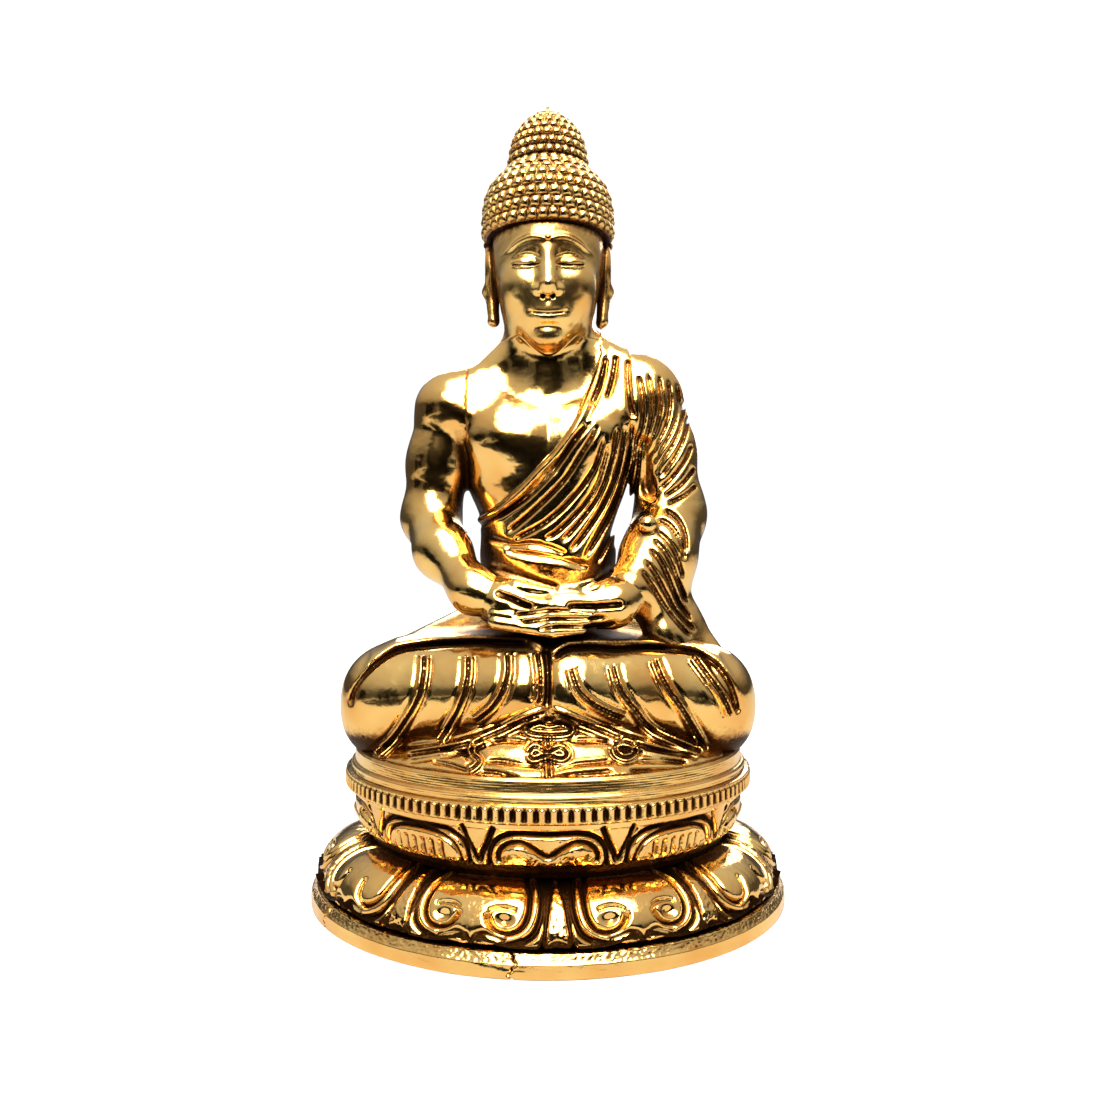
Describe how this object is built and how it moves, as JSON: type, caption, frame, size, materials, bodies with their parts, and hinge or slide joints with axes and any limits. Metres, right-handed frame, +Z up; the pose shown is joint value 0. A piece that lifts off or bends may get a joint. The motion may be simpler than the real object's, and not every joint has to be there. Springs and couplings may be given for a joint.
{
  "type": "buddha statue",
  "caption": "Small polished brass figure of a seated Buddha in meditation, hands in lap, on a round double lotus throne; stands on a shelf or altar.",
  "frame": {"origin": "centre of the underside of the foot ring, on the table", "axes": "+Z up through the crown; the figure faces -Y; +X is the figure's left"},
  "size_m": [0.0754, 0.0754, 0.127],
  "materials": {
    "figure_brass": "cast and buffed to a mirror, darkened in the recesses",
    "robe_brass": "cast cloth folds, tops buffed, folds left dark",
    "hair_brass": "cast curls, tops buffed, gaps left dark",
    "throne_brass": "cast relief, buffed on the high parts, dark in the grooves",
    "turned_brass": "turned, with fine lathe lines",
    "plate_brass": "rolled sheet, dull",
    "pin_brass": "filed flush and buffed",
    "steel_fastener": "zinc plated"
  },
  "bodies": {
    "root": {"foot_ring": "throne_brass", "closing_plate": "plate_brass", "plate_screws": "steel_fastener", "lower_lotus": "throne_brass", "upper_lotus": "throne_brass", "bead_ring": "throne_brass", "seat_drum": "turned_brass", "tie_rod": "steel_fastener", "tie_washer": "steel_fastener", "tie_nut": "steel_fastener", "legs": "robe_brass", "robe_fan": "robe_brass", "torso": "figure_brass", "shoulder_pins": "pin_brass", "right_arm": "figure_brass", "left_arm": "robe_brass", "hands": "figure_brass", "head": "figure_brass", "neck_pin": "pin_brass", "hair_cap": "hair_brass", "crown": "hair_brass", "brow_mark": "pin_brass"}
  },
  "joints": []
}
